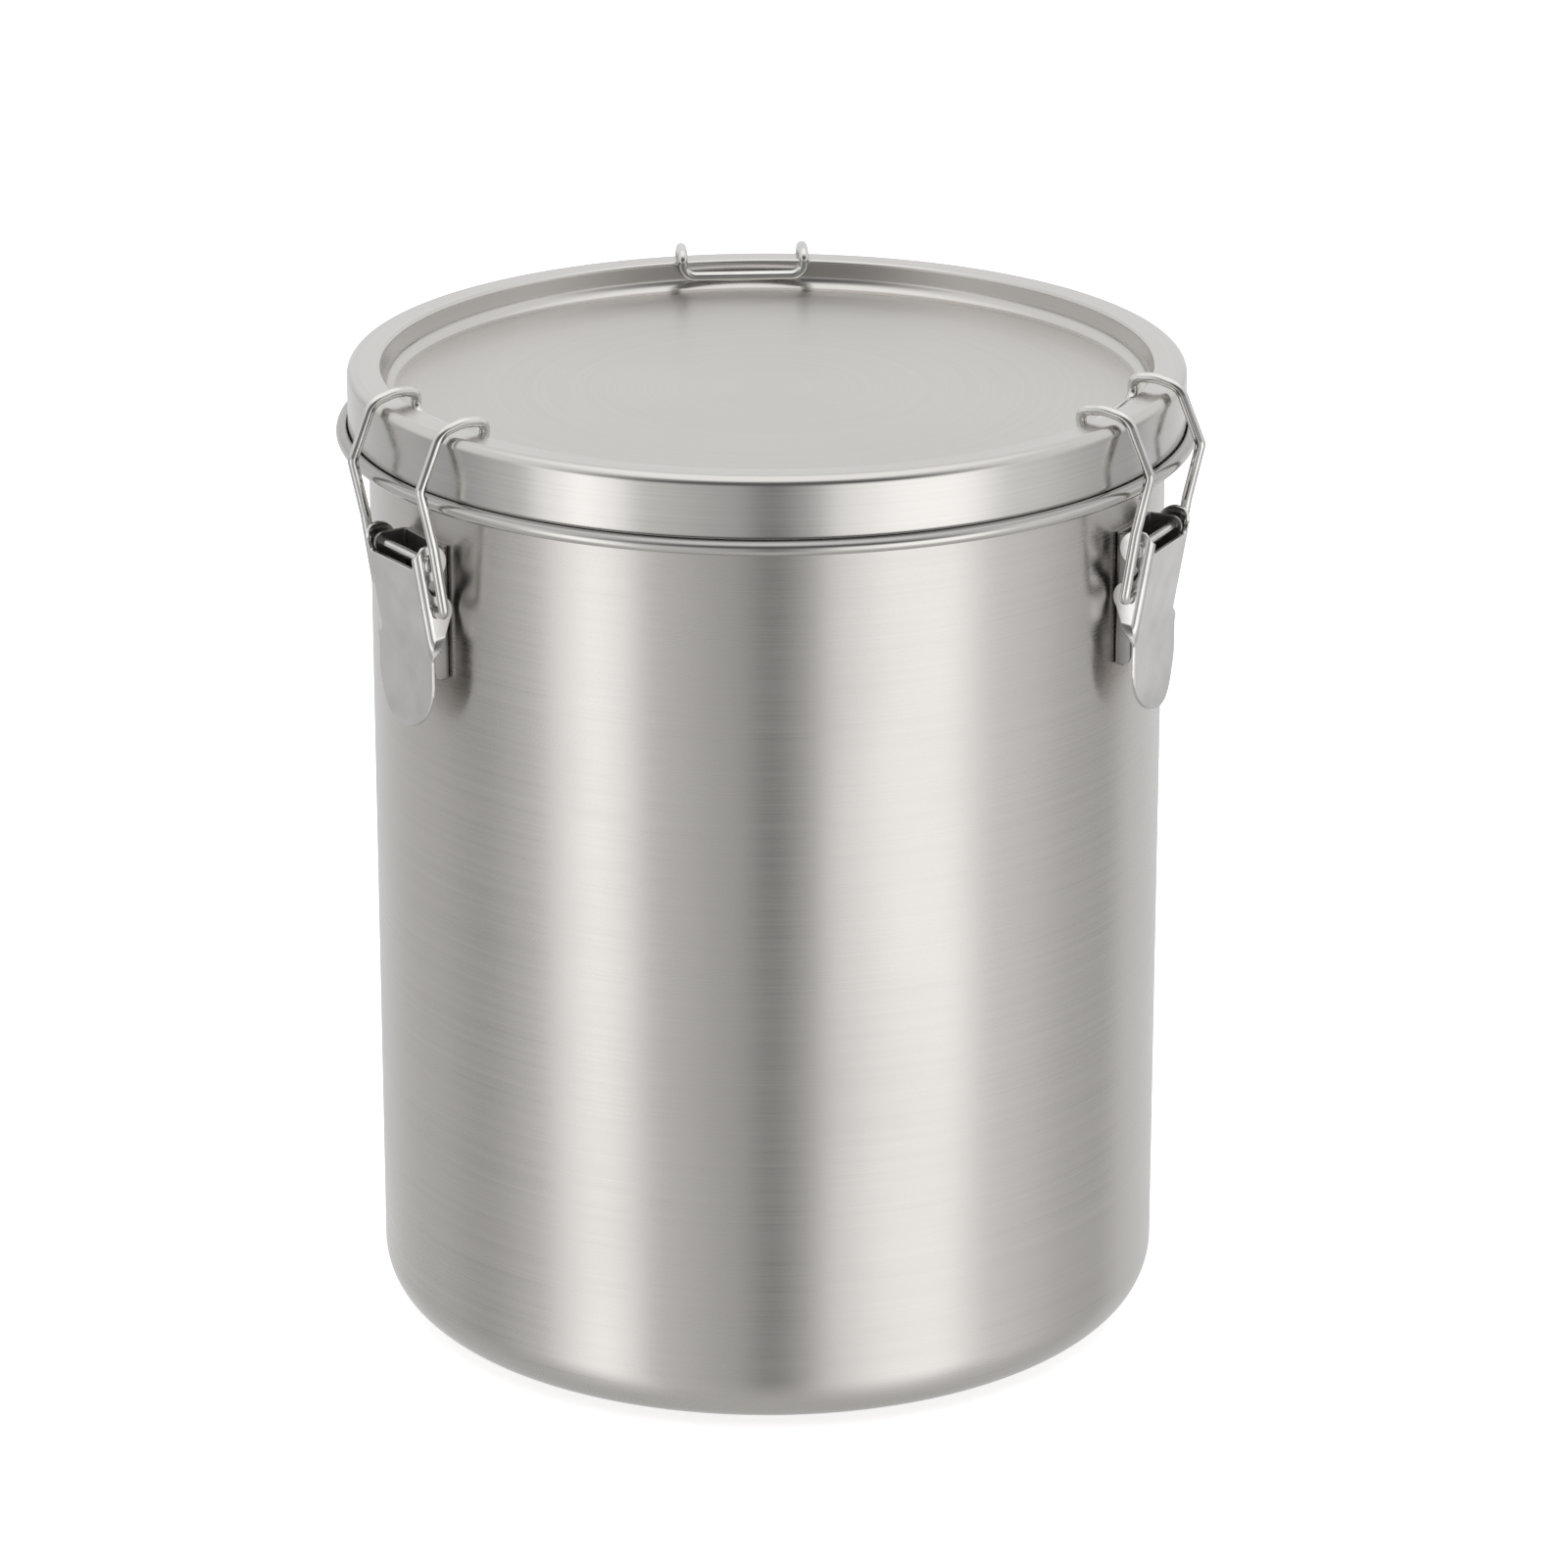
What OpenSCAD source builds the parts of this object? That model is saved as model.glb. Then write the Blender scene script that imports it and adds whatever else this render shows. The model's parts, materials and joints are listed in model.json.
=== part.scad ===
// Stainless milk can: a deep-drawn barrel, a recessed lid with a gasket in its
// channel, and three over-centre toggle latches with wire bails.
// +Z is up, the origin is the centre of the base, +Y is the middle of the back latch.

/* [Can] */
// Outside diameter of the barrel
barrel_d = 240; // [180:1:300]
// Height from the base to the top of the closed lid
can_h = 299; // [180:1:400]
// Thickness of the barrel and lid sheet
sheet = 0.8; // [0.6:0.1:1]
// Outside radius between the barrel wall and its base
base_corner_r = 17; // [8:1:24]

/* [Lid] */
// How far the lid skirt stands out from the barrel wall
skirt_out = 6.1; // [5.8:0.1:6.6]
// Height of the skirt, down to the middle of its rolled hem
skirt_h = 20.3; // [18:0.1:22]
// Width of the flat rim round the recess, with its two bends
rim_w = 10.3; // [10:0.1:10.6]
// Depth of the recess in the top of the lid
recess_depth = 9.2; // [8:0.1:10]
// Outside radius of the rolled hem and of the curl round the barrel's mouth
curl_r = 2.2; // [2:0.1:2.4]
// Height of the gasket
gasket_h = 4; // [3.8:0.1:4.4]

/* [Latch] */
// Width of the lever across its cheeks
lever_w = 30; // [28:1:32]
// Thickness of the lever and bracket sheet
latch_sheet = 1.2; // [1:0.1:1.4]
// Width of the bracket across its ears
bracket_w = 24; // [23:0.5:24.5]
// Diameter of the bail wire
wire_d = 3.2; // [2.6:0.1:3.4]
// Spacing of the two legs of the bail, centre to centre
bail_w = 38.4; // [38:0.2:40]
// Diameter of the pivot pin
pin_d = 2.8; // [2.6:0.1:3]

/* [Hidden] */
$fn = 96;

SIDES = ["back", "front_left", "front_right"];
PARTS = ["bracket", "lever", "bail", "pivot_pin"];
NODES = concat(["barrel", "lid", "lid_gasket"], [for (p = PARTS, s = SIDES) str(p, "_", s)]);
node = "all";

// Direction of each latch round the can, seen from above, from +X
azimuth = [90, 210, 330];

steel = [0.77, 0.76, 0.74];
polished = [0.85, 0.85, 0.84];
dark_steel = [0.62, 0.61, 0.60];
silicone = [0.93, 0.92, 0.88];

barrel_r = barrel_d / 2;

// Lid section: bends are given by the radius of the outer, visible skin
skirt_r = barrel_r + skirt_out;
recess_r = skirt_r - rim_w;
rim_outer_bend = 3;
rim_inner_bend = 1.2;
recess_fillet = 4;
hem_z = can_h - skirt_h;
hem_r = skirt_r - sheet + curl_r;
hem_end_angle = 480;
panel_z = can_h - recess_depth;

// Gasket section, in the channel between the recess wall and the skirt
gasket_inner_gap = 0.6;
gasket_outer_gap = 0.7;
gasket_bend = 1.8;
gasket_w = rim_w - 2 * sheet - gasket_inner_gap - gasket_outer_gap;
gasket_r = recess_r + sheet + gasket_inner_gap;
gasket_z = can_h - sheet - gasket_h;

// The curl round the mouth stops just under the gasket
seal_gap = 0.25;
mouth_z = gasket_z - seal_gap - curl_r;
mouth_r = barrel_r - sheet + curl_r;
mouth_end_angle = -120;

// Latch side view: x is the distance from the can's axis, z the height
pivot = [barrel_r + 7.8, can_h - 38.6];
hole = [barrel_r + 5.6, can_h - 53.7];
plate_top = [barrel_r + 12.8, can_h - 36.5];
kink = [barrel_r + 7.9, can_h - 65];
tail_z = can_h - 92;
flare_r = 30;
flare_angle = 20;
flare_z = tail_z + flare_r * sin(flare_angle);
plate_lean = atan2(plate_top.x - kink.x, plate_top.y - kink.y);
upper_lobe_r = 5.6;
lower_lobe_r = 5.2;
// Where the cheek's straight edges join its lobes: a share of the radius, and an angle
lobe_join = 0.97;
upper_join_angle = 60;
cheek_notch = [barrel_r + 9.2, can_h - 46];
plate_notch_gap = 0.4;
plate_notch_w = bracket_w + 2 * plate_notch_gap;
plate_notch_z = can_h - 40.5;
plate_notch_r = 1.5;

// Bracket side view
ear_lobe_r = 3.2;
ear_lobe_end_angle = -30;
ear_depth = 5;
ear_low_z = can_h - 76;
ear_shoulder_z = can_h - 50;
ear_end_r = 3;
pad_corner_r = 3;
// The ears are drawn this far into the wall, then cut to it
ear_root = 2;

// Fits
running_gap = 0.05;
head_r = 2.6;
head_t = 1;
head_dome_r = 3.8;
head_gap = 0.1;
bail_tip_gap = 0.6;
bail_tip_y = bracket_w / 2 + bail_tip_gap;
wire_sides = 14;
bend_step = 15;
// The faceted wire stays this far inside the true cylinders of its tips
wire_step = 0.02;
tip_bend = 2.2;
tip_overlap = 0.3;
tip_before_bend = 0.1;
tip_end_y = bail_w / 2 - tip_bend - tip_before_bend;

// One half of the bail, from the true cylinder of its tip to the corner of the crossbar:
// distance from the can's axis, distance from the middle of the latch, height
bail_half = [
    [hole.x, tip_end_y - tip_overlap, hole.y],
    [hole.x, bail_w / 2, hole.y],
    [barrel_r + 9.1, bail_w / 2, can_h - 32],
    [barrel_r + 13.1, bail_w / 2, can_h - 14.9],
    [barrel_r + 6, bail_w / 2, can_h + 1.6],
    [barrel_r - 1.8, bail_w / 2, can_h + 3.5],
    [barrel_r - 9.1, bail_w / 2, can_h + 2.6],
    [barrel_r - 8.6, bail_w / 2, can_h - 4.2]
];
bail_half_bends = [0, tip_bend, 12, 2.6, 6, 10, 2.6, 4.2];
last = len(bail_half) - 1;
bail_path = concat(bail_half, [for (i = [last:-1:0]) mirror_y(bail_half[i])]);
bail_bends = concat(bail_half_bends, [for (i = [last:-1:0]) bail_half_bends[i]]);

function mirror_y(p) = [p.x, -p.y, p.z];
function unit(v) = v / norm(v);
function toward(p, i) = unit(p[i + 1] - p[i]);
function turn(p, i) = acos(toward(p, i - 1) * toward(p, i));

// Angle at which a line from point p touches the circle of radius r round c, on its far side
function touch_angle(p, c, r) = atan2(p.y - c.y, p.x - c.x) - acos(r / norm(p - c));

// Points along the bend of radius r that rounds corner i of path p
function bend_points(p, r, i) =
    let (
        from = toward(p, i - 1),
        inward = unit(toward(p, i) - from * cos(turn(p, i))),
        start = p[i] - r * tan(turn(p, i) / 2) * from,
        steps = ceil(turn(p, i) / bend_step)
    )
    [for (k = [0:steps])
        let (a = turn(p, i) * k / steps)
            start + r * (sin(a) * from + (1 - cos(a)) * inward)];

// Centre line of a wire: its two ends, and a round bend at each corner between
function centre_line(p, r) = concat(
    [p[0]],
    [for (i = [1:len(p) - 2]) each bend_points(p, r[i], i)],
    [p[len(p) - 1]]
);

// Ring of points round a wire, square to its direction
function ring(at, along, r) =
    let (across = unit(cross(along, [1, 1, 1])), over = cross(along, across))
    [for (k = [0:wire_sides - 1])
        let (a = 360 * k / wire_sides)
            at + r * (cos(a) * across + sin(a) * over)];

// Round wire of radius r along a line of points
module wire(line, r) {
    end = len(line) - 1;
    n = wire_sides;
    points = [for (i = [0:end])
        each ring(line[i], unit(line[min(i + 1, end)] - line[max(i - 1, 0)]), r)];
    sides = [for (i = [0:end - 1], k = [0:n - 1])
        let (a = i * n + k, b = i * n + (k + 1) % n)
            each [[a, b + n, b], [a, a + n, b + n]]];
    first_cap = [for (k = [0:n - 1]) k];
    last_cap = [for (k = [n - 1:-1:0]) end * n + k];
    polyhedron(points, concat(sides, [first_cap, last_cap]));
}

// Flat sector of a circle of radius r between two angles, cut out by a fan of wide triangles
module sector(r, from, to) {
    widest = 60;
    steps = ceil(abs(to - from) / widest);
    reach = 2 * r;
    intersection() {
        circle(r);
        polygon(concat([[0, 0]], [
            for (i = [0:steps])
                let (a = from + (to - from) * i / steps)
                    [reach * cos(a), reach * sin(a)]
        ]));
    }
}

// Section of a sheet bent round a centre, with outer radius r
module bend(centre, r, t, from, to) {
    translate(centre)
        difference() {
            sector(r, from, to);
            circle(r - t);
        }
}

// Rectangle from its lower left corner, with round corners
module round_rect(w, h, r) {
    translate([r, 0]) square([w - 2 * r, h]);
    translate([0, r]) square([w, h - 2 * r]);
    for (x = [r, w - r], y = [r, h - r])
        translate([x, y]) circle(r);
}

// Sheet drawn in the latch's side view, from y0 outwards
module side_plate(y0, t) {
    translate([0, y0 + t, 0])
        rotate([90, 0, 0])
            linear_extrude(t)
                children();
}

// Shape drawn in the latch's front view, run out along the radius
module front_block(x0, depth) {
    translate([x0, 0, 0])
        rotate([90, 0, 90])
            linear_extrude(depth)
                children();
}

// Round bar across the latch, centred
module cross_bar(at, r, length) {
    translate([at.x, 0, at.y])
        rotate([90, 0, 0])
            cylinder(r = r, h = length, center = true);
}

// ---- Can ----

module cup_section(r, top, corner) {
    square([r - corner, corner]);
    translate([0, corner]) square([r, top - corner]);
    translate([r - corner, corner]) circle(corner);
}

module barrel() {
    color(steel)
        rotate_extrude() {
            intersection() {
                square([barrel_r, mouth_z]);
                difference() {
                    cup_section(barrel_r, mouth_z, base_corner_r);
                    translate([0, sheet])
                        cup_section(barrel_r - sheet, mouth_z, base_corner_r - sheet);
                }
            }
            bend([mouth_r, mouth_z], curl_r, sheet, 180, mouth_end_angle);
        }
}

module lid() {
    wall_low_z = panel_z + recess_fillet;
    wall_high_z = can_h - rim_inner_bend;
    skirt_high_z = can_h - rim_outer_bend;
    flat_from = recess_r + rim_inner_bend;
    flat_to = skirt_r - rim_outer_bend;
    fillet_r = recess_r - recess_fillet;
    color(steel)
        rotate_extrude() {
            translate([0, panel_z - sheet]) square([fillet_r, sheet]);
            bend([fillet_r, wall_low_z], recess_fillet + sheet, sheet, -90, 0);
            translate([recess_r, wall_low_z]) square([sheet, wall_high_z - wall_low_z]);
            bend([flat_from, wall_high_z], rim_inner_bend, sheet, 180, 90);
            translate([flat_from, can_h - sheet]) square([flat_to - flat_from, sheet]);
            bend([flat_to, skirt_high_z], rim_outer_bend, sheet, 90, 0);
            translate([skirt_r - sheet, hem_z]) square([sheet, skirt_high_z - hem_z]);
            bend([hem_r, hem_z], curl_r, sheet, 180, hem_end_angle);
        }
}

module lid_gasket() {
    color(silicone)
        rotate_extrude()
            translate([gasket_r, gasket_z])
                round_rect(gasket_w, gasket_h, gasket_bend);
}

// ---- Latch ----

module pad_outline() {
    pad_top = pivot.y + ear_lobe_r;
    translate([-bracket_w / 2, ear_low_z])
        round_rect(bracket_w, pad_top - ear_low_z, pad_corner_r);
}

module ear_outline() {
    ear_x = barrel_r + ear_depth;
    foot_x = barrel_r - ear_root;
    end = ear_lobe_end_angle;
    translate(pivot) circle(ear_lobe_r);
    polygon([
        [foot_x, pivot.y + ear_lobe_r],
        [pivot.x, pivot.y + ear_lobe_r],
        pivot,
        pivot + ear_lobe_r * [cos(end), sin(end)],
        [ear_x, ear_shoulder_z],
        [ear_x, ear_low_z + ear_end_r],
        [ear_x - ear_end_r, ear_low_z],
        [foot_x, ear_low_z]
    ]);
    translate([ear_x - ear_end_r, ear_low_z + ear_end_r]) circle(ear_end_r);
}

module bracket() {
    color(dark_steel)
        difference() {
            union() {
                intersection() {
                    cylinder(r = barrel_r + latch_sheet, h = can_h);
                    front_block(0, barrel_r + 2 * latch_sheet) pad_outline();
                }
                side_plate(bracket_w / 2 - latch_sheet, latch_sheet) ear_outline();
                side_plate(-bracket_w / 2, latch_sheet) ear_outline();
            }
            cylinder(r = barrel_r, h = can_h);
            cross_bar(pivot, pin_d / 2, 2 * bracket_w);
        }
}

module pivot_pin() {
    head_y = lever_w / 2 + head_gap;
    color(polished) {
        cross_bar(pivot, pin_d / 2, 2 * head_y);
        for (side = [-1, 1])
            translate([pivot.x, side * head_y, pivot.y])
                rotate([-90 * side, 0, 0])
                    intersection() {
                        cylinder(r = head_r, h = head_t);
                        translate([0, 0, head_t - head_dome_r]) sphere(head_dome_r);
                    }
    }
}

module plate_outline() {
    thickness = [latch_sheet / cos(plate_lean), 0];
    polygon([plate_top, kink, kink - [latch_sheet, 0], plate_top - thickness]);
}

module cheek_outline() {
    tip = kink - [latch_sheet, 0];
    touch = touch_angle(tip, hole, lower_lobe_r);
    translate(pivot) circle(upper_lobe_r);
    translate(hole) circle(lower_lobe_r);
    polygon([
        plate_top,
        kink,
        tip,
        hole + lobe_join * lower_lobe_r * [cos(touch), sin(touch)],
        hole,
        cheek_notch,
        pivot,
        pivot + lobe_join * upper_lobe_r * [cos(upper_join_angle), sin(upper_join_angle)]
    ]);
}

module tail_outline() {
    translate([kink.x - latch_sheet, flare_z]) square([latch_sheet, kink.y - flare_z]);
    bend([kink.x + flare_r, flare_z], flare_r + latch_sheet, latch_sheet, 180, 180 + flare_angle);
}

module front_outline() {
    tip_r = lever_w / 2;
    translate([0, tail_z + tip_r]) circle(tip_r);
    translate([-tip_r, tail_z + tip_r]) square([lever_w, plate_top.y - tail_z]);
}

module plate_notch() {
    notch_h = can_h - plate_notch_z;
    front_block(pivot.x + ear_lobe_r / 2, lever_w)
        translate([-plate_notch_w / 2, plate_notch_z])
            round_rect(plate_notch_w, notch_h, plate_notch_r);
}

module lever() {
    color(polished)
        difference() {
            union() {
                intersection() {
                    side_plate(-lever_w / 2, lever_w) {
                        plate_outline();
                        tail_outline();
                    }
                    front_block(barrel_r, flare_r) front_outline();
                }
                side_plate(lever_w / 2 - latch_sheet, latch_sheet) cheek_outline();
                side_plate(-lever_w / 2, latch_sheet) cheek_outline();
            }
            plate_notch();
            cross_bar(pivot, pin_d / 2 + running_gap, 2 * lever_w);
            cross_bar(hole, wire_d / 2 + running_gap, 2 * lever_w);
        }
}

// The tips that turn in the lever's holes are true cylinders
module bail() {
    color(polished) {
        wire(centre_line(bail_path, bail_bends), wire_d / 2 - wire_step);
        for (side = [-1, 1])
            translate([hole.x, side * bail_tip_y, hole.y])
                rotate([-90 * side, 0, 0])
                    cylinder(d = wire_d, h = tip_end_y - bail_tip_y);
    }
}

// ---- Assembly ----

function wanted(name) = node == "all" || node == name;

if (wanted("barrel")) barrel();
if (wanted("lid")) lid();
if (wanted("lid_gasket")) lid_gasket();
for (i = [0:len(SIDES) - 1]) {
    if (wanted(str("bracket_", SIDES[i]))) rotate(azimuth[i]) bracket();
    if (wanted(str("lever_", SIDES[i]))) rotate(azimuth[i]) lever();
    if (wanted(str("bail_", SIDES[i]))) rotate(azimuth[i]) bail();
    if (wanted(str("pivot_pin_", SIDES[i]))) rotate(azimuth[i]) pivot_pin();
}
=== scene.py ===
import json
import math
import bmesh
import bpy
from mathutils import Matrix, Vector


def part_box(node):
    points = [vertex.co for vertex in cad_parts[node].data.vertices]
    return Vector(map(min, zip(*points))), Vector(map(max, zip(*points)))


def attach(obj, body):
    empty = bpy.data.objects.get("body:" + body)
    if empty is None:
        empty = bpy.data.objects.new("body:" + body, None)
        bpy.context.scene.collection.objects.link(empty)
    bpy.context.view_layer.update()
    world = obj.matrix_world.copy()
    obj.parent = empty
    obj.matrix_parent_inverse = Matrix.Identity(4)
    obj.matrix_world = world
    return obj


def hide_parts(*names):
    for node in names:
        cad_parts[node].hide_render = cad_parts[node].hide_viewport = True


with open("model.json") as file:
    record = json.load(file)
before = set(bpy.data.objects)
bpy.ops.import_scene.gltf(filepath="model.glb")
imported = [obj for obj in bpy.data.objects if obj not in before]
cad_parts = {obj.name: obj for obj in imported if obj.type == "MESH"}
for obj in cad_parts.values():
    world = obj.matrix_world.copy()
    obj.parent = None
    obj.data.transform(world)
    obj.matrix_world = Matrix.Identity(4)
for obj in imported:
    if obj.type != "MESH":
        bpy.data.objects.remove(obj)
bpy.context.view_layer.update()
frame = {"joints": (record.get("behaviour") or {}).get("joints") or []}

# A stainless milk can, turned and folded from sheet in metres, round its CAD frame.

MM = 0.001
JOINTS = {j["name"]: j for j in frame["joints"]}
LATCHES = ("back", "front_left", "front_right")

# ---- Sizes of the can ----
SHEET = 0.8 * MM
BARREL_R = 120 * MM
BASE_CORNER_R = 17 * MM
CURL_R = 2.2 * MM
CAN_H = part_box("lid")[1].z
MOUTH_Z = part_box("barrel")[1].z - CURL_R
HEM_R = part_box("lid")[1].x - CURL_R
HEM_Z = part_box("lid")[0].z + CURL_R
SKIRT_R = HEM_R - CURL_R + SHEET
RIM_W = 10.3 * MM
RECESS_R = SKIRT_R - RIM_W
RECESS_DEPTH = 9.2 * MM
RECESS_FILLET = 4 * MM
RIM_INNER_BEND = 1.2 * MM
RIM_OUTER_BEND = 3 * MM
GASKET_BEND = 1.8 * MM
GASKET_GAP = 0.6 * MM

# ---- Sizes of a latch ----
LEVER_W = 30 * MM
BRACKET_W = 24 * MM
LATCH_SHEET = 1.2 * MM
WIRE_R = 1.6 * MM
WIRE_SLACK = 0.02 * MM
PIN_R = 1.4 * MM
HOLE_GAP = 0.05 * MM
RIM_ROUND = 0.28 * MM

LATHE_STEPS = 256
DEGREE = math.pi / 180
TINY = 1e-7
WELD = 1e-6


# ---- Mesh helpers ----

def arc(centre, radius, start, end, steps):
    """Points along an arc from start to end, in degrees."""
    angles = [(start + (end - start) * k / steps) * DEGREE for k in range(steps + 1)]
    return [(centre[0] + radius * math.cos(a), centre[1] + radius * math.sin(a)) for a in angles]


def smooth(x):
    """0 below 0, 1 above 1, and a smooth step between."""
    x = min(1.0, max(0.0, x))
    return x * x * (3 - 2 * x)


def to_object(name, bm):
    """A smooth-shaded object from a bmesh, with flat faces kept flat."""
    bmesh.ops.recalc_face_normals(bm, faces=bm.faces)
    mesh = bpy.data.meshes.new(name)
    bm.to_mesh(mesh)
    bm.free()
    mesh.shade_smooth()
    obj = bpy.data.objects.new(name, mesh)
    bpy.context.scene.collection.objects.link(obj)
    weighted = obj.modifiers.new("weighted", "WEIGHTED_NORMAL")
    weighted.keep_sharp = True
    return obj


def turn_profile(bm, profile, closed, steps):
    """Turns (radius, height) points round Z. A point on the axis becomes one vertex."""
    rings = []
    for radius, height in profile:
        count = 1 if radius < TINY else steps
        angles = [2 * math.pi * k / steps for k in range(count)]
        rings.append([
            bm.verts.new((radius * math.cos(a), radius * math.sin(a), height)) for a in angles
        ])
    following = rings[1:] + (rings[:1] if closed else [])
    for low, high in zip(rings, following):
        for k in range(steps):
            around = [low[k % len(low)], low[(k + 1) % len(low)],
                      high[(k + 1) % len(high)], high[k % len(high)]]
            corners = list(dict.fromkeys(around))
            if len(corners) > 2:
                bm.faces.new(corners)


def lathe(name, profile, closed=False, steps=LATHE_STEPS):
    bm = bmesh.new()
    turn_profile(bm, profile, closed, steps)
    return to_object(name, bm)


def sweep(bm, line, radius, sides):
    """A round bar along a line of points, with rounded ends."""
    rings = []
    last = len(line) - 1
    domes = [(1.0, 0.25), (0.92, 0.6), (0.72, 0.85), (0.4, 1.0)]
    directions = [(line[min(i + 1, last)] - line[max(i - 1, 0)]).normalized()
                  for i in range(last + 1)]
    stations = [(line[0] + directions[0] * radius * (1 - back), directions[0], share * radius)
                for share, back in reversed(domes)]
    stations += [(line[i], directions[i], radius) for i in range(1, last)]
    stations += [(line[last] - directions[last] * radius * (1 - back), directions[last],
                  share * radius) for share, back in domes]
    for at, along, size in stations:
        across = along.cross(Vector((1, 1, 1))).normalized()
        over = along.cross(across)
        rings.append([
            bm.verts.new(at + size * (across * math.cos(a) + over * math.sin(a)))
            for a in (2 * math.pi * k / sides for k in range(sides))
        ])
    for low, high in zip(rings, rings[1:]):
        for k in range(sides):
            n = (k + 1) % sides
            bm.faces.new((low[k], low[n], high[n], high[k]))
    bm.faces.new(rings[0])
    bm.faces.new(rings[-1])


def flat_blank(outline, holes, thickness):
    """A flat sheet with rounded rims, cut to an outline with holes, as a bmesh round z = 0."""
    curve = bpy.data.curves.new("blank", "CURVE")
    curve.dimensions = "2D"
    curve.fill_mode = "BOTH"
    curve.extrude = thickness / 2 - RIM_ROUND
    curve.bevel_depth = RIM_ROUND
    curve.bevel_resolution = 2
    curve.offset = -RIM_ROUND
    for points in [outline, *holes]:
        spline = curve.splines.new("POLY")
        spline.points.add(len(points) - 1)
        for point, (u, s) in zip(spline.points, points):
            point.co = (u, s, 0, 1)
        spline.use_cyclic_u = True
    obj = bpy.data.objects.new("blank", curve)
    bpy.context.scene.collection.objects.link(obj)
    depsgraph = bpy.context.evaluated_depsgraph_get()
    mesh = bpy.data.meshes.new_from_object(obj.evaluated_get(depsgraph))
    bm = bmesh.new()
    bm.from_mesh(mesh)
    bmesh.ops.remove_doubles(bm, verts=bm.verts, dist=WELD)
    bpy.data.objects.remove(obj)
    bpy.data.curves.remove(curve)
    bpy.data.meshes.remove(mesh)
    return bm


def score(bm, direction, places):
    """Cuts the sheet along lines square to a direction, so that it can bend there."""
    for place in places:
        geometry = bm.verts[:] + bm.edges[:] + bm.faces[:]
        bmesh.ops.bisect_plane(bm, geom=geometry, dist=TINY, plane_co=direction * place,
                               plane_no=direction)


def spaced(low, high, count):
    return [low + (high - low) * k / count for k in range(count + 1)]


def mirrored(half):
    """A closed outline from its right half, given from the bottom to the top."""
    return half + [(-u, s) for u, s in reversed(half) if abs(u) > TINY]


# ---- The can ----

def barrel_profile():
    inner_corner = BASE_CORNER_R - SHEET
    corner_centre = (BARREL_R - BASE_CORNER_R, BASE_CORNER_R)
    curl_centre = (BARREL_R - SHEET + CURL_R, MOUTH_Z)
    curl_end = -120
    wall_top = MOUTH_Z - 4 * CURL_R
    return [
        (0, 0),
        (0.5 * BARREL_R, 0),
        *arc(corner_centre, BASE_CORNER_R, -90, 0, 24),
        (BARREL_R, wall_top),
        (BARREL_R, MOUTH_Z),
        *reversed(arc(curl_centre, CURL_R - SHEET, curl_end, 170, 28)),
        *arc(curl_centre, CURL_R, curl_end, 180, 30),
        (BARREL_R - SHEET, wall_top),
        *reversed(arc(corner_centre, inner_corner, -90, 0, 24)),
        (0.5 * BARREL_R, SHEET),
        (0, SHEET),
    ]


def lid_profile():
    panel_z = CAN_H - RECESS_DEPTH
    fillet = (RECESS_R - RECESS_FILLET, panel_z + RECESS_FILLET)
    inner = (RECESS_R + RIM_INNER_BEND, CAN_H - RIM_INNER_BEND)
    outer = (SKIRT_R - RIM_OUTER_BEND, CAN_H - RIM_OUTER_BEND)
    hem = (HEM_R, HEM_Z)
    hem_end = 480
    top_skin = [
        (0, panel_z),
        (0.5 * RECESS_R, panel_z),
        *arc(fillet, RECESS_FILLET, -90, 0, 12),
        *arc(inner, RIM_INNER_BEND, 180, 90, 8),
        *arc(outer, RIM_OUTER_BEND, 90, 0, 12),
        (SKIRT_R, HEM_Z + CURL_R),
    ]
    under_skin = [
        (0, panel_z - SHEET),
        (0.5 * RECESS_R, panel_z - SHEET),
        *arc(fillet, RECESS_FILLET + SHEET, -90, 0, 12),
        *arc(inner, RIM_INNER_BEND - SHEET, 180, 90, 8),
        *arc(outer, RIM_OUTER_BEND - SHEET, 90, 0, 12),
        (SKIRT_R - SHEET, HEM_Z + CURL_R),
    ]
    rolled = arc(hem, CURL_R, 180, hem_end, 30)
    rolled_inside = arc(hem, CURL_R - SHEET, 190, hem_end, 28)
    return top_skin + rolled_inside + rolled[::-1] + under_skin[::-1]


def gasket_profile():
    low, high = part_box("lid_gasket")
    inner_r = RECESS_R + SHEET + GASKET_GAP
    outer_r = high.x
    bend = GASKET_BEND
    return [
        *arc((outer_r - bend, low.z + bend), bend, -90, 0, 6),
        *arc((outer_r - bend, high.z - bend), bend, 0, 90, 6),
        *arc((inner_r + bend, high.z - bend), bend, 90, 180, 6),
        *arc((inner_r + bend, low.z + bend), bend, 180, 270, 6),
    ]


# ---- Latches, each made at azimuth 0 and turned into place ----

def side_view(joint):
    """A joint's place in its latch's side view: distance from the can's axis, and height."""
    x, y, z = JOINTS[joint]["pos_m"]
    return Vector((math.hypot(x, y), z))


def azimuth(latch):
    x, y, _ = JOINTS[f"lever_{latch}_turn"]["pos_m"]
    return math.atan2(y, x)


PIVOT = side_view("lever_back_turn")
HOLE = side_view("bail_back_turn")
KINK = Vector((BARREL_R + 7.9 * MM, CAN_H - 65 * MM))
PLATE_TOP = Vector((BARREL_R + 12.8 * MM, CAN_H - 36.5 * MM))
CHEEK_NOTCH = Vector((BARREL_R + 9.2 * MM, CAN_H - 46 * MM))
TAIL_Z = CAN_H - 92 * MM
UPPER_LOBE_R = 5.6 * MM
LOWER_LOBE_R = 5.2 * MM
CHANNEL_BEND = 2.2 * MM
FLARE_R = 30 * MM
FLARE_L = 10.4 * MM
LEAN = math.atan2(PLATE_TOP.x - KINK.x, PLATE_TOP.y - KINK.y)
PLATE_L = (PLATE_TOP - KINK).length
BEND_MID_R = CHANNEL_BEND - LATCH_SHEET / 2
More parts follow.
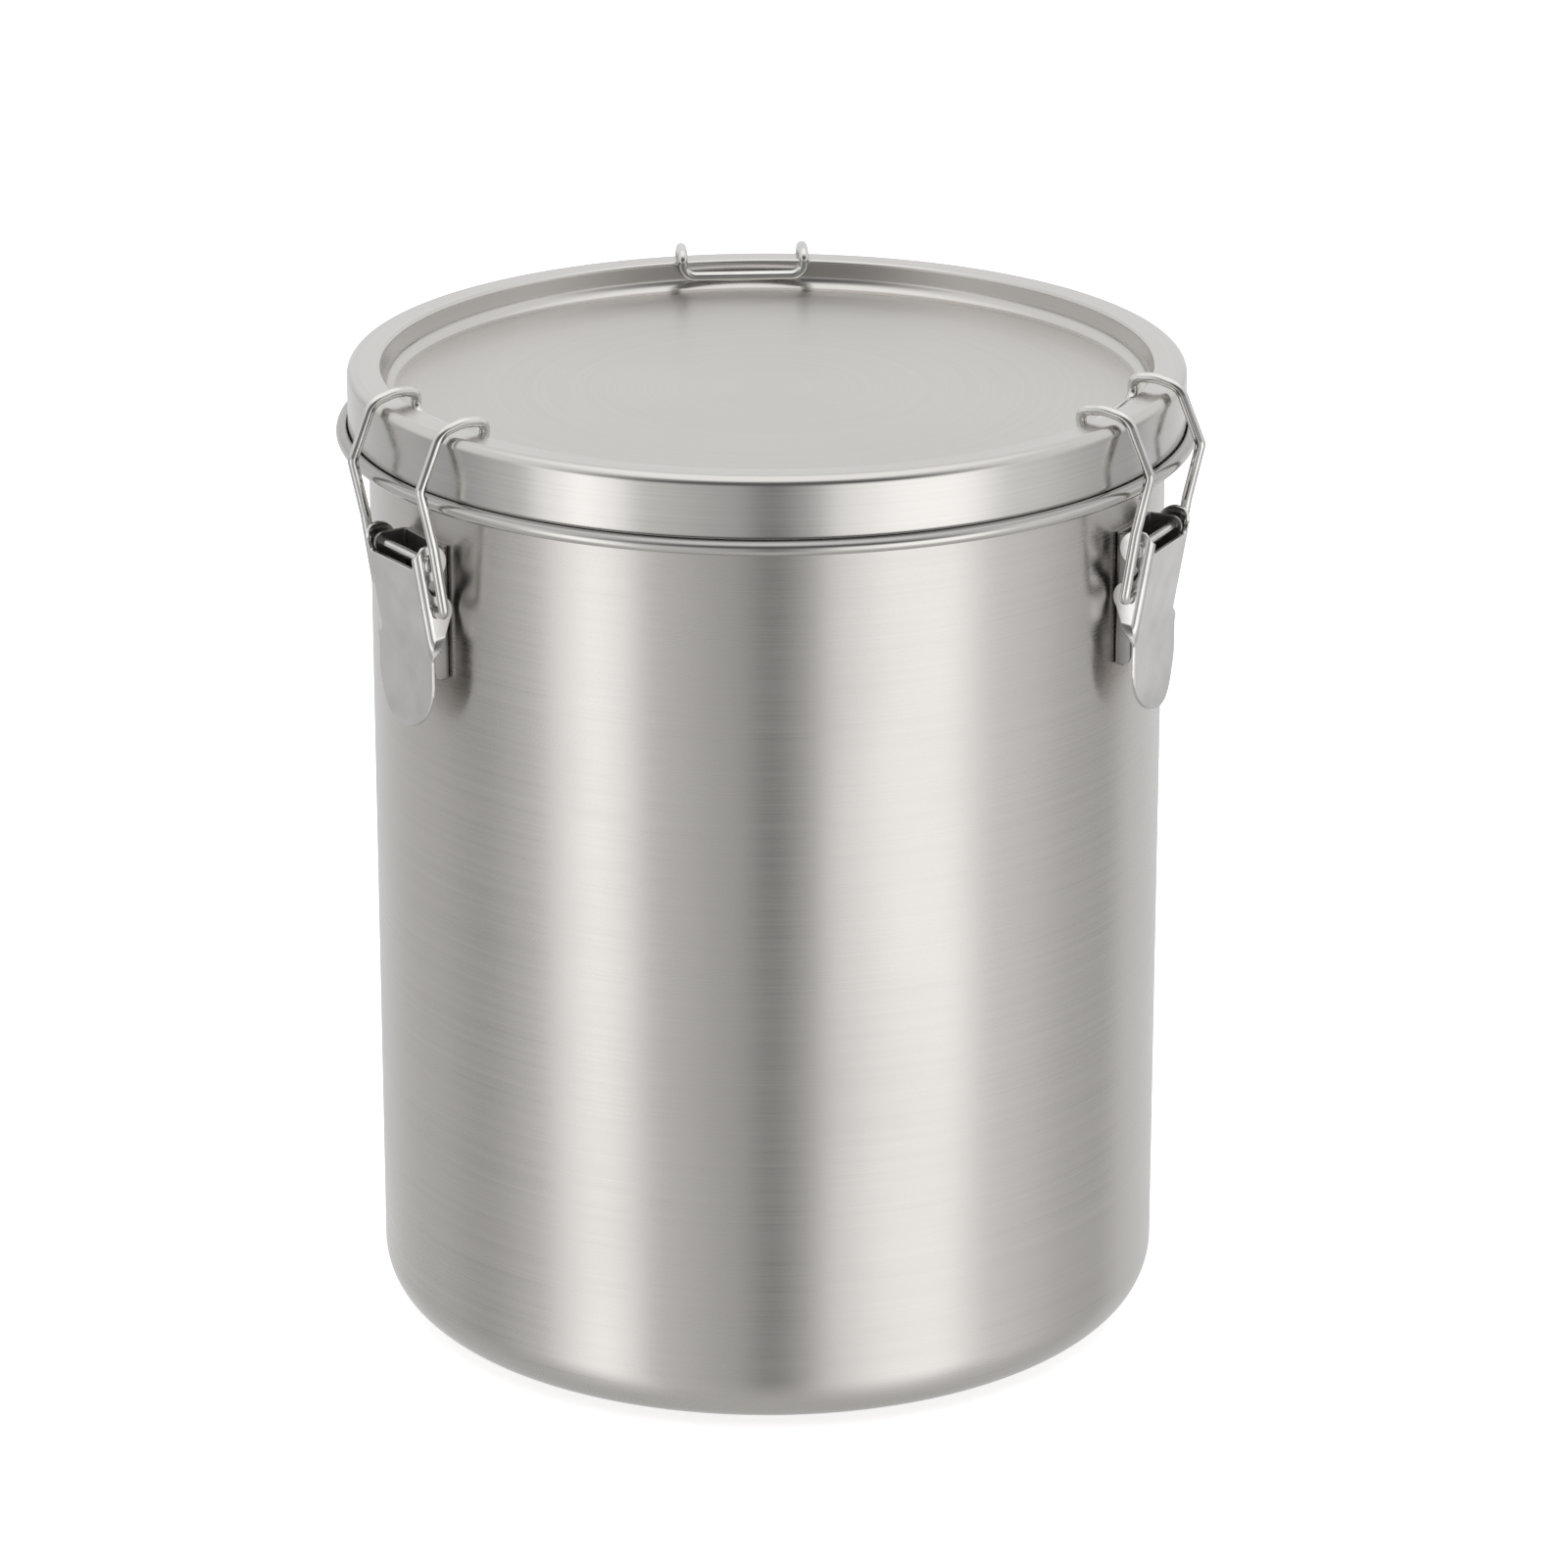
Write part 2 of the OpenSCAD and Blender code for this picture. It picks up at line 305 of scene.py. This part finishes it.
BEND_L = BEND_MID_R * math.pi / 2
FLAT_HALF = LEVER_W / 2 - CHANNEL_BEND
KINK_FADE = 3 * MM
NOTCH_GAP = 0.4 * MM
NOTCH_Z = CAN_H - 40.5 * MM


def lean_at(s):
    """Slope of the lever's plate at distance s above the kink."""
    tail_l = KINK.y - TAIL_Z
    flare = max(0.0, FLARE_L - (tail_l + s)) / FLARE_R
    return LEAN * smooth(s / KINK_FADE + 0.5) - flare


def lever_path():
    """The plate's middle line in side view, a point for each half millimetre from the tail's end."""
    step = 0.5 * MM
    spare_below, spare_above = 4, 20
    below = round((KINK.y - TAIL_Z) / step) + spare_below
    above = round(PLATE_L / step) + spare_above
    points = {0: Vector((KINK.x - LATCH_SHEET / 2, KINK.y))}
    for k in range(above):
        lean = lean_at((k + 0.5) * step)
        points[k + 1] = points[k] + step * Vector((math.sin(lean), math.cos(lean)))
    for k in range(0, -below, -1):
        lean = lean_at((k - 0.5) * step)
        points[k - 1] = points[k] - step * Vector((math.sin(lean), math.cos(lean)))
    return points, step


LEVER_PATH, LEVER_STEP = lever_path()


def fold_lever(u, s, n):
    """Takes a point of the flat blank to its place in the lever."""
    k = max(min(LEVER_PATH), min(max(LEVER_PATH) - 1, math.floor(s / LEVER_STEP)))
    base = LEVER_PATH[k].lerp(LEVER_PATH[k + 1], s / LEVER_STEP - k)
    lean = lean_at(s)
    fold = smooth(s / (2 * KINK_FADE) + 0.5)
    over = max(0.0, abs(u) - FLAT_HALF)
    turn = fold * min(over, BEND_L) / BEND_MID_R
    if turn > WELD:
        radius = BEND_MID_R / fold
        y = FLAT_HALF + radius * math.sin(turn)
        depth = radius * (1 - math.cos(turn))
        beyond = max(0.0, over - BEND_L)
        y += beyond * math.cos(turn)
        depth += beyond * math.sin(turn)
    else:
        y, depth = abs(u), 0.0
    y += n * math.sin(turn)
    out = n * math.cos(turn) - depth
    x = base.x + out * math.cos(lean)
    z = base.y - out * math.sin(lean)
    return x, math.copysign(y, u), z


def on_cheek(point):
    """A side-view point of the lever's cheek as a point of the flat blank."""
    up = Vector((math.sin(LEAN), math.cos(LEAN)))
    inward = Vector((-math.cos(LEAN), math.sin(LEAN)))
    offset = Vector(point) - KINK
    depth = offset.dot(inward)
    return (LEVER_W / 2 + BEND_L - 2 * CHANNEL_BEND + depth, offset.dot(up))


def curve_through(start, control, end, steps):
    """Points of a curve that leaves start towards control and arrives at end from it."""
    return [tuple(start.lerp(control, t).lerp(control.lerp(end, t), t))
            for t in (k / steps for k in range(steps + 1))]


def lever_outline():
    tip_r = LEVER_W / 2
    flare_slack = 0.15 * MM
    tail_s = TAIL_Z - KINK.y + flare_slack
    tail = arc((0, tail_s + tip_r), tip_r, -90, 0, 24)
    touch_from = Vector((KINK.x - LATCH_SHEET, KINK.y))
    away = touch_from - HOLE
    touch = math.degrees(math.atan2(away.y, away.x) - math.acos(LOWER_LOBE_R / away.length))
    upper = arc(PIVOT, UPPER_LOBE_R, 62, 268, 28)
    lower = arc(HOLE, LOWER_LOBE_R, 76, touch % 360, 20)
    notch = curve_through(Vector(upper[-1]), CHEEK_NOTCH, Vector(lower[0]), 8)
    cheek_down = [on_cheek(p) for p in upper + notch[1:-1] + lower]
    cheek_up = cheek_down[::-1]
    notch_half = BRACKET_W / 2 + NOTCH_GAP
    notch_s = (NOTCH_Z - KINK.y) / math.cos(LEAN)
    corner_r = 1.5 * MM
    top = [
        (notch_half + 0.9 * MM, PLATE_L - 0.1 * MM),
        (notch_half + 0.2 * MM, PLATE_L - 0.5 * MM),
        (notch_half, PLATE_L - 1.2 * MM),
        *arc((notch_half - corner_r, notch_s + corner_r), corner_r, 0, -90, 6),
        (0, notch_s),
    ]
    return mirrored([*tail, (tip_r, -4 * MM), *cheek_up, *top])


def circle(centre, radius, steps=32):
    return arc(centre, radius, 0, 360, steps)[:-1]


def lever_holes():
    holes = []
    for centre, radius in ((PIVOT, PIN_R + HOLE_GAP), (HOLE, WIRE_R + HOLE_GAP)):
        u, s = on_cheek(centre)
        holes += [circle((u, s), radius), circle((-u, s), radius)]
    return holes


def fold_into_place(bm, fold):
    for vertex in bm.verts:
        vertex.co = fold(*vertex.co)


def lever(name):
    bm = flat_blank(lever_outline(), lever_holes(), LATCH_SHEET)
    across, along = Vector((1, 0, 0)), Vector((0, 1, 0))
    folds = spaced(FLAT_HALF, FLAT_HALF + BEND_L, 6)
    score(bm, across, folds + [-place for place in folds])
    tail_s = TAIL_Z - KINK.y
    score(bm, along, spaced(tail_s, tail_s + FLARE_L, 8) + spaced(-KINK_FADE, KINK_FADE, 8))
    fold_into_place(bm, fold_lever)
    return to_object(name, bm)


BRACKET_BEND_R = 1.1 * MM
PAD_HALF = BRACKET_W / 2 - LATCH_SHEET / 2 - BRACKET_BEND_R
PAD_R = BARREL_R + LATCH_SHEET / 2
EAR_LOW_Z = CAN_H - 76 * MM
EAR_TOP_Z = PIVOT.y + 3.2 * MM
EAR_LOBE_R = 3.2 * MM
EAR_X = BARREL_R + 5 * MM
EAR_END_R = 3 * MM
EAR_ROOT_X = BARREL_R + 2.6 * MM
EAR_NECK_Z = CAN_H - 50 * MM


def fold_bracket(u, z, n):
    """Takes a point of the bracket's flat blank to its place, with the pad round the barrel."""
    flat = min(abs(u), PAD_HALF)
    bearing = flat / PAD_R
    full_turn = math.pi / 2 + PAD_HALF / PAD_R
    over = max(0.0, abs(u) - PAD_HALF)
    turn = min(over / BRACKET_BEND_R, full_turn)
    beyond = max(0.0, over - full_turn * BRACKET_BEND_R)
    heading = math.pi / 2 + bearing - turn
    centre = Vector((math.cos(bearing), math.sin(bearing))) * (PAD_R + BRACKET_BEND_R)
    if over > 0:
        inward = Vector((-math.sin(heading), math.cos(heading)))
        place = centre + inward * BRACKET_BEND_R
    else:
        place = Vector((math.cos(bearing), math.sin(bearing))) * PAD_R
    ahead = Vector((math.cos(heading), math.sin(heading)))
    face = Vector((math.sin(heading), -math.cos(heading)))
    place = place + beyond * ahead + n * face
    return place.x, math.copysign(place.y, u), z


def on_ear(point):
    """A side-view point of the bracket's ear as a point of its flat blank."""
    full_turn = math.pi / 2 + PAD_HALF / PAD_R
    bend_end_x = math.cos(PAD_HALF / PAD_R) * (PAD_R + BRACKET_BEND_R)
    return (PAD_HALF + full_turn * BRACKET_BEND_R + point[0] - bend_end_x, point[1])


def bracket(name):
    ear = [
        (EAR_ROOT_X, EAR_LOW_Z),
        *arc((EAR_X - EAR_END_R, EAR_LOW_Z + EAR_END_R), EAR_END_R, -80, 0, 8),
        (EAR_X, EAR_NECK_Z),
        *arc(PIVOT, EAR_LOBE_R, -25, 90, 14),
        (EAR_ROOT_X, EAR_TOP_Z),
    ]
    half = [(0, EAR_LOW_Z), *[on_ear(p) for p in ear], (0, EAR_TOP_Z)]
    u, z = on_ear(PIVOT)
    bm = flat_blank(mirrored(half), [circle((u, z), PIN_R), circle((-u, z), PIN_R)], LATCH_SHEET)
    across = Vector((1, 0, 0))
    bend_l = (math.pi / 2 + PAD_HALF / PAD_R) * BRACKET_BEND_R
    folds = spaced(PAD_HALF, PAD_HALF + bend_l, 6)
    score(bm, across, folds + [-place for place in folds] + spaced(-PAD_HALF, PAD_HALF, 8)[1:-1])
    fold_into_place(bm, fold_bracket)
    return to_object(name, bm)


BAIL_HALF_W = 19.2 * MM
BAIL_TIP_Y = BRACKET_W / 2 + 0.6 * MM
BEND_STEP = 6
TIP_BEND = 2.2 * MM
WIRE_SIDES = 20


def rounded_line(corners, bends):
    """The corners of a wire's line, with an arc of the given radius at each one between the ends."""
    line = [corners[0]]
    for before, at, after, radius in zip(corners, corners[1:], corners[2:], bends):
        into = (at - before).normalized()
        out = (after - at).normalized()
        turn = into.angle(out)
        inward = (out - into * math.cos(turn)).normalized()
        start = at - into * radius * math.tan(turn / 2)
        steps = math.ceil(math.degrees(turn) / BEND_STEP)
        line += [start + radius * (into * math.sin(turn * k / steps)
                                   + inward * (1 - math.cos(turn * k / steps)))
                 for k in range(steps + 1)]
    return line + [corners[-1]]


def bail(name):
    half = [
        (HOLE.x, BAIL_TIP_Y, HOLE.y),
        (HOLE.x, BAIL_HALF_W, HOLE.y),
        (BARREL_R + 9.1 * MM, BAIL_HALF_W, CAN_H - 32 * MM),
        (BARREL_R + 13.1 * MM, BAIL_HALF_W, CAN_H - 14.9 * MM),
        (BARREL_R + 6 * MM, BAIL_HALF_W, CAN_H + 1.6 * MM),
        (BARREL_R - 1.8 * MM, BAIL_HALF_W, CAN_H + 3.5 * MM),
        (BARREL_R - 9.1 * MM, BAIL_HALF_W, CAN_H + 2.6 * MM),
        (BARREL_R - 8.6 * MM, BAIL_HALF_W, CAN_H - 4.2 * MM),
    ]
    bends = [TIP_BEND, 12 * MM, 2.6 * MM, 6 * MM, 10 * MM, 2.6 * MM, 4.2 * MM]
    corners = [Vector(p) for p in half] + [Vector((x, -y, z)) for x, y, z in reversed(half)]
    bm = bmesh.new()
    sweep(bm, rounded_line(corners, bends + bends[::-1]), WIRE_R - WIRE_SLACK,
          WIRE_SIDES)
    return to_object(name, bm)


def pivot_pin(name):
    head_y = LEVER_W / 2 + 0.1 * MM
    head_r = 2.6 * MM
    head_t = 1 * MM
    rim = 0.35 * MM
    taper = 0.15 * MM
    head = [
        (PIN_R, head_y),
        (head_r - rim, head_y),
        (head_r, head_y + rim),
        (head_r - taper, head_y + 0.55 * head_t),
        (0.72 * head_r, head_y + 0.8 * head_t),
        (0.4 * head_r, head_y + 0.96 * head_t),
        (0, head_y + head_t),
    ]
    profile = [(r, -h) for r, h in reversed(head)] + head
    bm = bmesh.new()
    turn_profile(bm, profile, False, 40)
    for vertex in bm.verts:
        x, y, z = vertex.co
        vertex.co = (PIVOT.x + x, z, PIVOT.y + y)
    return to_object(name, bm)


# ---- Materials ----

# Painted shade: a darker band in the seam above the lid's hem, standing in for the shade in the
# groove
SEAM_Z = HEM_Z + 1.9 * MM
SEAM_HALF = 0.5 * MM
SEAM_EDGE = 1.1 * MM
SEAM_SHADE_COLOUR = (0.44, 0.43, 0.42)

# The lid's panel is duller than its rim, up to where the recess's fillet begins
PANEL_DULLNESS = 0.17
PANEL_END = RECESS_R - 5 * MM
PANEL_FADED = RECESS_R - 3.5 * MM

GRAIN_SCALE = 160.0
SCRATCH_DEPTH = 0.02 * MM


def feed(tree, socket, value):
    """Links another node's output to a socket, or sets a plain value on it."""
    if isinstance(value, bpy.types.NodeSocket):
        tree.links.new(value, socket)
    else:
        socket.default_value = value


def node(tree, kind, **settings):
    """A shader node with its properties set by name, and its inputs by name_ with an underscore."""
    made = tree.nodes.new(kind)
    for key, value in settings.items():
        if key.endswith("_"):
            feed(tree, made.inputs[key[:-1].replace("_", " ")], value)
        else:
            setattr(made, key, value)
    return made


def new_material(name):
    material = bpy.data.materials.new(name)
    material.use_nodes = True
    tree = material.node_tree
    return material, tree, tree.nodes["Principled BSDF"]


def math_node(tree, operation, first, second=0.0):
    made = tree.nodes.new("ShaderNodeMath")
    made.operation = operation
    for socket, value in zip(made.inputs, (first, second)):
        feed(tree, socket, value)
    return made.outputs[0]


def ranged(tree, value, low, high, from_low=0.0, from_high=1.0):
    made = node(tree, "ShaderNodeMapRange", Value_=value, From_Min_=from_low, From_Max_=from_high,
                To_Min_=low, To_Max_=high)
    return made.outputs["Result"]


def blended(tree, factor, first, second):
    made = tree.nodes.new("ShaderNodeMix")
    tree.links.new(factor, made.inputs[0])
    for socket, value in zip(made.inputs[2:4], (first, second)):
        feed(tree, socket, value)
    return made.outputs[0]


def tint(tree, factor, dark, light):
    ramp = tree.nodes.new("ShaderNodeValToRGB")
    ramp.color_ramp.elements[0].color = (*dark, 1)
    ramp.color_ramp.elements[1].color = (*light, 1)
    tree.links.new(factor, ramp.inputs["Fac"])
    return ramp.outputs["Color"]


def with_seam_shade(tree, share, colour):
    """The colour, giving way to the painted seam shade's colour where its share is high."""
    made = node(tree, "ShaderNodeMix", data_type="RGBA", blend_type="MIX")
    tree.links.new(share, made.inputs[0])
    tree.links.new(colour, made.inputs[6])
    made.inputs[7].default_value = (*SEAM_SHADE_COLOUR, 1)
    return made.outputs[2]


def noise(tree, vector, scale, detail=3.0):
    made = node(tree, "ShaderNodeTexNoise", Scale_=scale, Detail_=detail)
    tree.links.new(vector, made.inputs["Vector"])
    return made.outputs["Fac"]


def turned_grain(tree):
    """Coordinates in which noise draws fine lines round the can's axis, on walls and panels."""
    position = node(tree, "ShaderNodeTexCoord").outputs["Object"]
    parts = node(tree, "ShaderNodeSeparateXYZ", Vector_=position)
    x, y, z = parts.outputs
    radius = math_node(tree, "SQRT", math_node(tree, "ADD", math_node(tree, "MULTIPLY", x, x),
                                               math_node(tree, "MULTIPLY", y, y)))
    across = math_node(tree, "MULTIPLY", math_node(tree, "ADD", radius, z), GRAIN_SCALE)
    return position, radius, node(tree, "ShaderNodeCombineXYZ", X_=x, Y_=y, Z_=across).outputs[0]


def brushed_steel(name, dark, light, roughness, anisotropy, lid=False):
    """Sheet steel brushed round the can. On the lid, the panel is duller than the rim and skirt, and
    the seam above the hem is darkened with painted shade.
    """
    material, tree, shader = new_material(name)
    position, radius, grain = turned_grain(tree)
    fine = noise(tree, grain, 9.0, 5.0)
    broad = noise(tree, grain, 2.2, 2.0)
    clouds = noise(tree, position, 14.0, 3.0)
    lines = math_node(tree, "ADD", math_node(tree, "MULTIPLY", fine, 0.65),
                      math_node(tree, "MULTIPLY", broad, 0.35))
    low, high = roughness
    spread = ranged(tree, lines, low, high, 0.3, 0.7)
    smudge = ranged(tree, clouds, -0.025, 0.025, 0.35, 0.65)
    total = math_node(tree, "ADD", spread, smudge)
    if lid:
        panel = ranged(tree, radius, 1.0, 0.0, PANEL_END, PANEL_FADED)
        dulled = math_node(tree, "MULTIPLY", panel, PANEL_DULLNESS)
        total = math_node(tree, "ADD", total, dulled)
        # painted shade: a darker band round the seam above the hem, placed by height
        height = node(tree, "ShaderNodeSeparateXYZ", Vector_=position).outputs["Z"]
        from_seam = math_node(tree, "ABSOLUTE", math_node(tree, "SUBTRACT", height, SEAM_Z))
        seam_shade_share = ranged(tree, from_seam, 1.0, 0.0, SEAM_HALF, SEAM_EDGE)
    tree.links.new(total, shader.inputs["Roughness"])
    colour = tint(tree, lines, dark, light)
    if lid:
        colour = with_seam_shade(tree, seam_shade_share, colour)
    tree.links.new(colour, shader.inputs["Base Color"])
    bump = node(tree, "ShaderNodeBump", Strength_=0.12, Distance_=SCRATCH_DEPTH, Height_=fine)
    tree.links.new(bump.outputs["Normal"], shader.inputs["Normal"])
    tangent = node(tree, "ShaderNodeTangent", direction_type="RADIAL", axis="Z")
    tree.links.new(tangent.outputs["Tangent"], shader.inputs["Tangent"])
    shader.inputs["Metallic"].default_value = 1.0
    shader.inputs["Anisotropic"].default_value = anisotropy
    shader.inputs["Anisotropic Rotation"].default_value = 0.25
    return material


def tumbled_steel(name, dark, light, roughness, scratch_scale):
    """Small pressed or drawn steel parts: tumble-polished, with faint scuffs and brighter edges."""
    material, tree, shader = new_material(name)
    position = node(tree, "ShaderNodeTexCoord").outputs["Object"]
    stretched = node(tree, "ShaderNodeMapping", Vector_=position, Scale_=(1.0, 1.0, 0.25))
    scuffs = noise(tree, stretched.outputs[0], scratch_scale, 4.0)
    clouds = noise(tree, position, 90.0, 2.0)
    edges = ranged(tree, node(tree, "ShaderNodeNewGeometry").outputs["Pointiness"],
                   0.0, 0.35, 0.51, 0.6)
    low, high = roughness
    tree.links.new(ranged(tree, scuffs, low, high, 0.3, 0.7), shader.inputs["Roughness"])
    shade = math_node(tree, "ADD", ranged(tree, clouds, 0.1, 0.75, 0.3, 0.7), edges)
    tree.links.new(tint(tree, shade, dark, light), shader.inputs["Base Color"])
    bump = node(tree, "ShaderNodeBump", Strength_=0.08, Distance_=SCRATCH_DEPTH, Height_=scuffs)
    tree.links.new(bump.outputs["Normal"], shader.inputs["Normal"])
    shader.inputs["Metallic"].default_value = 1.0
    return material


def silicone(name):
    material, tree, shader = new_material(name)
    position = node(tree, "ShaderNodeTexCoord").outputs["Object"]
    clouds = noise(tree, position, 60.0, 3.0)
    colour = tint(tree, clouds, (0.80, 0.79, 0.74), (0.90, 0.89, 0.85))
    tree.links.new(colour, shader.inputs["Base Color"])
    tree.links.new(ranged(tree, clouds, 0.42, 0.58), shader.inputs["Roughness"])
    shader.inputs["Subsurface Weight"].default_value = 0.15
    shader.inputs["Subsurface Scale"].default_value = 2 * MM
    return material


# ---- The pieces on their bodies ----

def place(piece, body, cad_node, material, slot):
    piece.data.materials.append(material)
    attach(piece, body)
    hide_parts(cad_node)


barrel_steel = brushed_steel("barrel_steel", (0.60, 0.575, 0.55), (0.74, 0.715, 0.69),
                             (0.24, 0.34), 0.75)
lid_steel = brushed_steel("lid_steel", (0.60, 0.58, 0.56), (0.74, 0.72, 0.695),
                          (0.16, 0.23), 0.3, lid=True)
lever_steel = tumbled_steel("lever_steel", (0.70, 0.69, 0.68), (0.84, 0.83, 0.81),
                            (0.16, 0.24), 900.0)
wire_steel = tumbled_steel("wire_steel", (0.62, 0.61, 0.59), (0.82, 0.81, 0.79),
                           (0.10, 0.2), 1400.0)
# Painted shade: the bracket's colour is darker than the other steels, standing in for the shade and
# dark reflections under the lever.
bracket_steel_painted_shade = tumbled_steel("bracket_steel_painted_shade", (0.32, 0.31, 0.30), (0.50, 0.49, 0.48),
                              (0.26, 0.38), 700.0)
gasket_silicone = silicone("gasket_silicone")

place(lathe("barrel_shell", barrel_profile()), "can", "barrel", barrel_steel, "barrel_steel")
place(lathe("lid_shell", lid_profile()), "lid", "lid", lid_steel, "lid_steel")
place(lathe("lid_seal", gasket_profile(), closed=True), "lid", "lid_gasket",
      gasket_silicone, "silicone")

LATCH_PIECES = (
    (bracket, "bracket", "can", bracket_steel_painted_shade, "latch_steel_satin"),
    (lever, "lever", None, lever_steel, "latch_steel_polished"),
    (bail, "bail", None, wire_steel, "wire_steel"),
    (pivot_pin, "pivot_pin", "can", wire_steel, "wire_steel"),
)
for latch in LATCHES:
    for make, part, body, material, slot in LATCH_PIECES:
        cad_node = f"{part}_{latch}"
        piece = make(f"{cad_node}_shown")
        piece.rotation_euler.z = azimuth(latch)
        place(piece, body or cad_node, cad_node, material, slot)


# ---- Floor, light and camera ----

FLOOR_R = 40.0
FLOOR_SIDES = 96
FLOOR_GLOW = 0.6


def floor():
    bm = bmesh.new()
    bmesh.ops.create_circle(bm, cap_ends=True, segments=FLOOR_SIDES, radius=FLOOR_R)
    mesh = bpy.data.meshes.new("floor")
    bm.to_mesh(mesh)
    bm.free()
    made = bpy.data.objects.new("floor", mesh)
    bpy.context.scene.collection.objects.link(made)
    material, tree, shader = new_material("floor_paper")
    position = node(tree, "ShaderNodeTexCoord").outputs["Object"]
    colour = tint(tree, noise(tree, position, 3.0), (0.90, 0.90, 0.90), (0.92, 0.92, 0.92))
    tree.links.new(colour, shader.inputs["Base Color"])
    shader.inputs["Roughness"].default_value = 0.9
    shader.inputs["Emission Color"].default_value = (1, 1, 1, 1)
    shader.inputs["Emission Strength"].default_value = FLOOR_GLOW
    mesh.materials.append(material)
    made.visible_glossy = False


# Brightness of the studio by bearing, in degrees to the right of the camera as the can sees it:
# a narrow softbox on the left, a broad one on the right, and the dark room behind the camera.
STUDIO = ((-180, 0.80), (-120, 0.54), (-95, 0.42), (-76, 0.62), (-64, 1.15), (-55, 1.45),
          (-47, 1.25), (-36, 0.68), (-13, 0.50), (-2, 0.22), (6, 0.46), (18, 1.10), (34, 1.38),
          (48, 1.40), (68, 0.80), (100, 0.52), (112, 0.46), (128, 0.68), (180, 0.82))
LIGHTEST = 1.5
CEILING_FRONT = 0.12
CEILING_BACK = 0.85
OVERHEAD = 1.15
GROUND = 0.55

# Where one part of the room gives way to the next, as a direction's depth or height
CEILING_BLEND = (-0.8, -0.35)
OVERHEAD_BLEND = (0.7, 0.9)
WALL_TOP_BLEND = (-0.05, 0.3)
GROUND_BLEND = (-0.9, -0.5)


def studio_world():
    world = bpy.data.worlds.new("studio")
    bpy.context.scene.world = world
    world.use_nodes = True
    tree = world.node_tree
    direction = node(tree, "ShaderNodeTexCoord").outputs["Generated"]
    x, y, z = node(tree, "ShaderNodeSeparateXYZ", Vector_=direction).outputs
    bearing = math_node(tree, "ARCTAN2", x, math_node(tree, "MULTIPLY", y, -1.0))
    share = ranged(tree, bearing, 0.0, 1.0, -math.pi, math.pi)
    ramp = tree.nodes.new("ShaderNodeValToRGB")
    ramp.color_ramp.interpolation = "EASE"
    tree.links.new(share, ramp.inputs["Fac"])
    stops = ramp.color_ramp.elements
    while len(stops) < len(STUDIO):
        stops.new(0.5)
    for stop, (degrees, level) in zip(stops, STUDIO):
        stop.position = (degrees + 180) / 360
        stop.color = (level / LIGHTEST,) * 3 + (1,)
    walls = math_node(tree, "MULTIPLY", ramp.outputs["Color"], LIGHTEST)
    ceiling = ranged(tree, y, CEILING_FRONT, CEILING_BACK, *CEILING_BLEND)
    ceiling = blended(tree, ranged(tree, z, 0.0, 1.0, *OVERHEAD_BLEND), ceiling, OVERHEAD)
    with_ceiling = blended(tree, ranged(tree, z, 0.0, 1.0, *WALL_TOP_BLEND), walls, ceiling)
    room = blended(tree, ranged(tree, z, 1.0, 0.0, *GROUND_BLEND), with_ceiling, GROUND)
    background = tree.nodes["Background"]
    tree.links.new(room, background.inputs["Color"])


LAMP_SIZE = 1.6
LAMP_WATTS = 22
LAMP_AT = (0.2, 0.1, 2.2)


def overhead_light():
    light = bpy.data.lights.new("overhead", "AREA")
    light.size = LAMP_SIZE
    light.energy = LAMP_WATTS
    made = bpy.data.objects.new("overhead", light)
    bpy.context.scene.collection.objects.link(made)
    made.location = LAMP_AT
    made.visible_glossy = False


CAMERA_TURN = -4.0
CAMERA_DOWN = 19.4
CAMERA_BACK = 1.8565
CAMERA_HEIGHT = 0.817
CAMERA_RIGHT = 0.0051
CAMERA_LENS = 147.03
SENSOR_W = 36


def camera():
    data = bpy.data.cameras.new("camera")
    data.lens = CAMERA_LENS
    data.sensor_width = SENSOR_W
    made = bpy.data.objects.new("camera", data)
    bpy.context.scene.collection.objects.link(made)
    turn, down = CAMERA_TURN * DEGREE, CAMERA_DOWN * DEGREE
    right = Vector((math.cos(turn), math.sin(turn), 0))
    ahead = Vector((-math.sin(turn), math.cos(turn), 0))
    made.location = right * CAMERA_RIGHT - ahead * CAMERA_BACK + Vector((0, 0, CAMERA_HEIGHT))
    look = ahead * math.cos(down) - Vector((0, 0, math.sin(down)))
    made.rotation_euler = look.to_track_quat("-Z", "Y").to_euler()
    bpy.context.scene.camera = made


floor()
studio_world()
overhead_light()
camera()
bpy.context.scene.view_settings.view_transform = "Standard"
